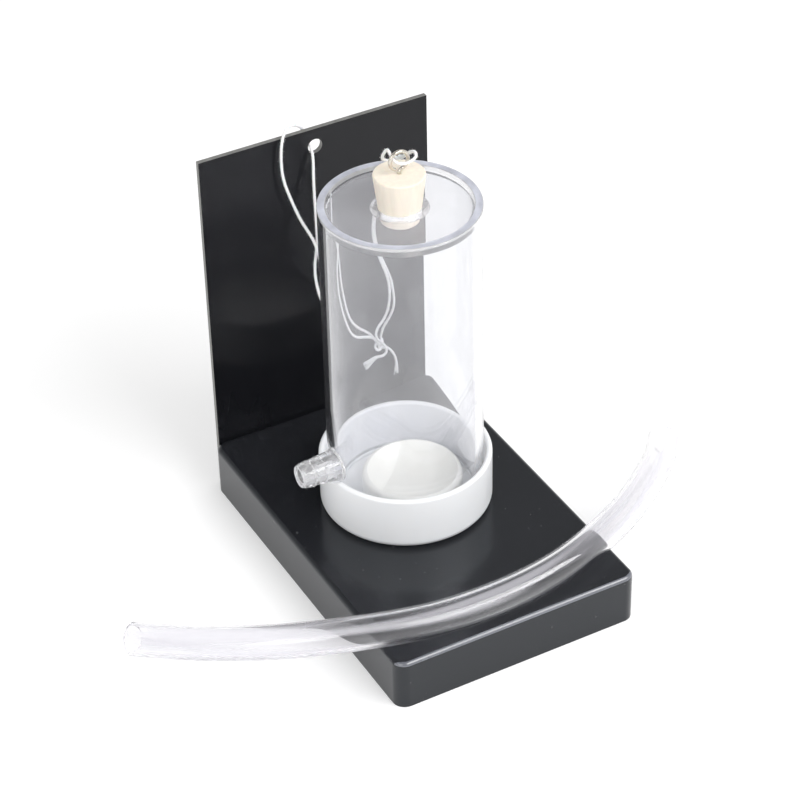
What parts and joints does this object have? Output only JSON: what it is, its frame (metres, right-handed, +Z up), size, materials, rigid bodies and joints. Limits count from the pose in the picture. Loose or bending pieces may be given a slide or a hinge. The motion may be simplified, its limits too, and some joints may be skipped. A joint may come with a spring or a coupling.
{
  "type": "gas work demonstration apparatus",
  "caption": "Clear compression tube with side nozzle and tied stopper in a white cup on a black base, with a black back plate and a loose hose, for showing a gas doing work.",
  "frame": {"origin": "on the table under the middle of the footprint of the base and its back plate", "axes": "+X to the viewer's right, away from the nozzle; +Y towards the back plate; +Z up along the tube"},
  "size_m": [0.247, 0.1562, 0.1768],
  "materials": {
    "black_moulding": "moulded black with a soft gloss",
    "black_sheet": "glossy black sheet",
    "screw_steel": "plated",
    "white_moulding": "milky white, slightly translucent",
    "gasket": "soft, pale",
    "ivory_moulding": "satin ivory",
    "clear_acrylic": "polished, clear",
    "clear_moulding": "clear moulding",
    "stopper_wood": "smooth, pale cream",
    "nickel_wire": "nickel plated wire",
    "string": "white twisted string",
    "clear_hose": "clear soft vinyl"
  },
  "bodies": {
    "stand": {"base": "black_moulding", "back_plate": "black_sheet", "plate_screws": "screw_steel", "cup": "white_moulding", "cup_screws": "screw_steel", "cup_washers": "screw_steel", "tube_gasket": "gasket", "inner_dish": "ivory_moulding", "tube": "clear_acrylic", "top_disc": "clear_acrylic", "nozzle": "clear_moulding", "plate_string": "string", "stopper_string": "string", "string_knot": "string"},
    "stopper": {"stopper": "stopper_wood", "screw_eye": "nickel_wire"},
    "hose": {"hose": "clear_hose"}
  },
  "joints": [
    {"name": "stopper_pull", "type": "slide", "parent": "stand", "child": "stopper", "axis": [0, 0, 1], "range_m": [0, 0.03], "deforming": ["stopper_string"]},
    {"name": "hose_lift", "type": "slide", "parent": "stand", "child": "hose", "axis": [0, 0, 1], "range_m": [0, 0.06]}
  ]
}
